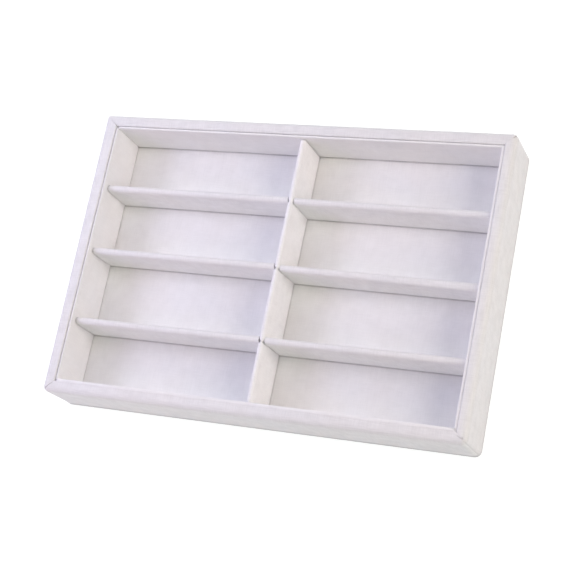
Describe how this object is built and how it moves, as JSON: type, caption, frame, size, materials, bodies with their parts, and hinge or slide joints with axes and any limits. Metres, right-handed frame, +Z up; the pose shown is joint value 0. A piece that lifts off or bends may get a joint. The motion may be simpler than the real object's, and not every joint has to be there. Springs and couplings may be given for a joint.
{
  "type": "sunglasses organizer",
  "caption": "Open rectangular tray with a wrapped rim, whose rounded dividers form a grid of long, shallow compartments that each hold a folded pair of glasses.",
  "frame": {"origin": "Centre of the underside, on the face that the tray rests on.", "axes": "+X along the long side to the right, +Y across the tray to its far side, +Z up out of the compartments."},
  "size_m": [0.35, 0.239, 0.045],
  "materials": {
    "leatherette": "matt white leatherette with a fine linen grain",
    "lining_leatherette": "matt white leatherette with a fine linen grain, glued flat",
    "fibreboard": "raw medium-density fibreboard",
    "greyboard": "raw grey bookbinding board",
    "bottom_paper": "matt off-white cover paper"
  },
  "bodies": {
    "root": {"bottom_cover": "bottom_paper", "base_board": "greyboard", "floor_lining": "lining_leatherette", "rail_core_near": "fibreboard", "rail_core_right": "fibreboard", "rail_core_far": "fibreboard", "rail_core_left": "fibreboard", "rail_wrap_near": "leatherette", "rail_wrap_right": "leatherette", "rail_wrap_far": "leatherette", "rail_wrap_left": "leatherette", "liner_card_near": "greyboard", "liner_card_right": "greyboard", "liner_card_far": "greyboard", "liner_card_left": "greyboard", "liner_cover_near": "lining_leatherette", "liner_cover_right": "lining_leatherette", "liner_cover_far": "lining_leatherette", "liner_cover_left": "lining_leatherette", "centre_divider_core": "greyboard", "centre_divider_wrap": "leatherette", "cross_divider_left_far_core": "greyboard", "cross_divider_left_far_wrap": "leatherette", "cross_divider_left_middle_core": "greyboard", "cross_divider_left_middle_wrap": "leatherette", "cross_divider_left_near_core": "greyboard", "cross_divider_left_near_wrap": "leatherette", "cross_divider_right_far_core": "greyboard", "cross_divider_right_far_wrap": "leatherette", "cross_divider_right_middle_core": "greyboard", "cross_divider_right_middle_wrap": "leatherette", "cross_divider_right_near_core": "greyboard", "cross_divider_right_near_wrap": "leatherette"}
  },
  "joints": []
}
